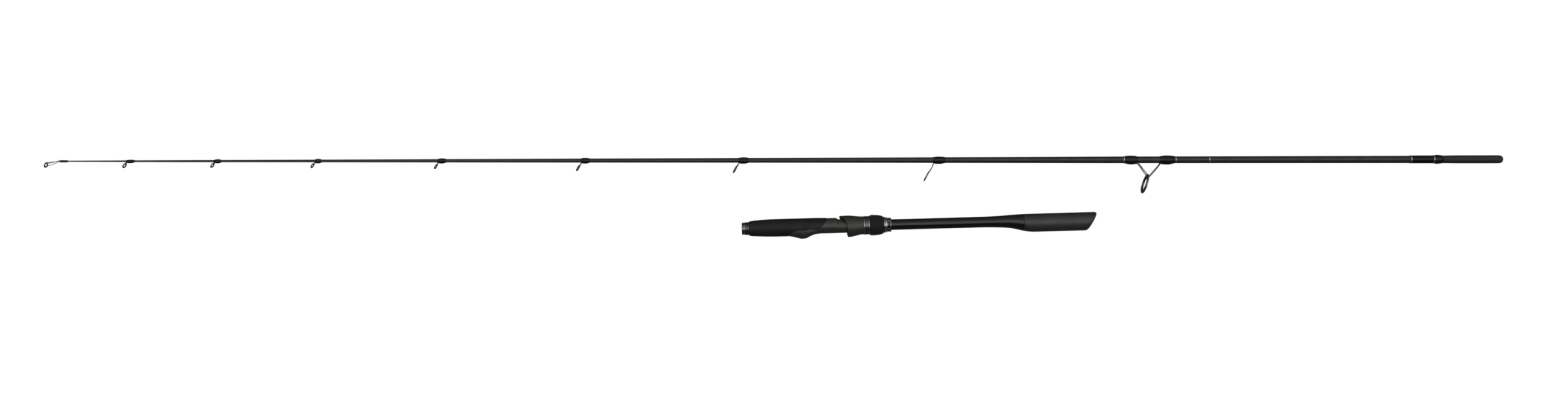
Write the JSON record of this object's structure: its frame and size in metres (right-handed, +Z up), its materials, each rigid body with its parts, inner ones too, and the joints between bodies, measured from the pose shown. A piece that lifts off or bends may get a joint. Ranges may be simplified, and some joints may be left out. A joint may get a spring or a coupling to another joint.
{
  "type": "two-piece spinning rod",
  "caption": "Two-piece spinning rod lying apart: a long tip section with line guides beside a short handle with a screw-down reel seat.",
  "frame": {"origin": "on the floor, below the middle of the whole object as it lies", "axes": "+X along the tip section from its tip to its ferrule plug, +Z up from the floor, +Y from the handle towards the tip section"},
  "size_m": [1.993, 0.1138, 0.0298],
  "materials": {
    "carbon_blank": "satin black carbon blank with faint slanting bands",
    "matte_ferrule": "sanded charcoal carbon",
    "gloss_wrap": "black thread under clear glossy epoxy",
    "gloss_black": "gloss black",
    "silver_trim": "bright silver",
    "guide_metal": "polished dark gunmetal",
    "ceramic_ring": "polished black ceramic",
    "carbon_tube": "gloss black carbon tube",
    "polished_metal": "polished gunmetal",
    "dark_metal": "dark anodised, satin",
    "textured_grip": "matte charcoal with fine slanting lines",
    "seat_plastic": "semi-matte warm charcoal",
    "matte_grip": "matte charcoal",
    "soft_touch": "matte soft-touch black",
    "black_plastic": "satin black",
    "foam": "dense black foam"
  },
  "bodies": {
    "handle": {"socket_sleeve": "carbon_tube", "front_collar": "polished_metal", "front_collar_ring": "dark_metal", "foregrip": "textured_grip", "reel_seat_body": "seat_plastic", "seat_thread": "seat_plastic", "handle_tube": "carbon_tube", "rear_check_ring": "polished_metal", "hook_keeper_ring": "polished_metal", "rear_grip": "matte_grip", "butt_cap": "matte_grip"},
    "stop_carrier": {"socket_stop": "foam"},
    "bung_carrier": {"blank_bung": "foam"},
    "tip_section": {"blank": "carbon_blank", "ferrule_plug": "matte_ferrule", "plug_end_cap": "black_plastic", "ferrule_wrap": "gloss_wrap", "ferrule_trim_ring": "silver_trim", "label_band": "gloss_black", "label_trim_ring": "silver_trim", "mid_trim_ring": "silver_trim", "stripper_frame": "guide_metal", "stripper_ring": "ceramic_ring", "stripper_front_wrap": "gloss_wrap", "stripper_rear_wrap": "gloss_wrap", "stripper_trim_rings": "silver_trim", "guide_2_frame": "guide_metal", "guide_2_ring": "ceramic_ring", "guide_2_wrap": "gloss_wrap", "guide_3_frame": "guide_metal", "guide_3_ring": "ceramic_ring", "guide_3_wrap": "gloss_wrap", "guide_4_frame": "guide_metal", "guide_4_ring": "ceramic_ring", "guide_4_wrap": "gloss_wrap", "guide_5_frame": "guide_metal", "guide_5_ring": "ceramic_ring", "guide_5_wrap": "gloss_wrap", "guide_6_frame": "guide_metal", "guide_6_ring": "ceramic_ring", "guide_6_wrap": "gloss_wrap", "guide_7_frame": "guide_metal", "guide_7_ring": "ceramic_ring", "guide_7_wrap": "gloss_wrap", "guide_8_frame": "guide_metal", "guide_8_ring": "ceramic_ring", "guide_8_wrap": "gloss_wrap", "tip_top_frame": "guide_metal", "tip_top_ring": "ceramic_ring", "tip_top_wrap": "gloss_wrap"},
    "hood": {"movable_hood": "seat_plastic", "hood_band_ring": "dark_metal", "hood_band_trims": "silver_trim"},
    "nut": {"locking_nut": "black_plastic", "nut_grip": "soft_touch"}
  },
  "joints": [
    {"name": "square_up", "type": "hinge", "parent": "handle", "child": "stop_carrier", "pos_m": [0.06273, -0.04014, 0.01476], "axis": [0, 0, 1], "range_deg": [0, 1.52]},
    {"name": "line_up", "type": "slide", "parent": "stop_carrier", "child": "bung_carrier", "axis": [-0.9979, -0.0648, 0.0061], "range_m": [0, 1.40121]},
    {"name": "ferrule_push", "type": "slide", "parent": "bung_carrier", "child": "tip_section", "axis": [1, 0, 0], "range_m": [0, 0.4397]},
    {"name": "hood_slide", "type": "slide", "parent": "handle", "child": "hood", "axis": [-0.9996, -0.0265, 0], "range_m": [0, 0.018]},
    {"name": "nut_turn", "type": "hinge", "parent": "hood", "child": "nut", "pos_m": [0.1397, -0.0381, 0.01476], "axis": [-0.9996, -0.0265, 0], "range_deg": [0, 3241]}
  ],
  "couplings": [
    {"joint": "square_up", "follows": "line_up", "rad_per_m": 0.018933},
    {"joint": "nut_turn", "follows": "hood_slide", "rad_per_m": 3141.6}
  ]
}
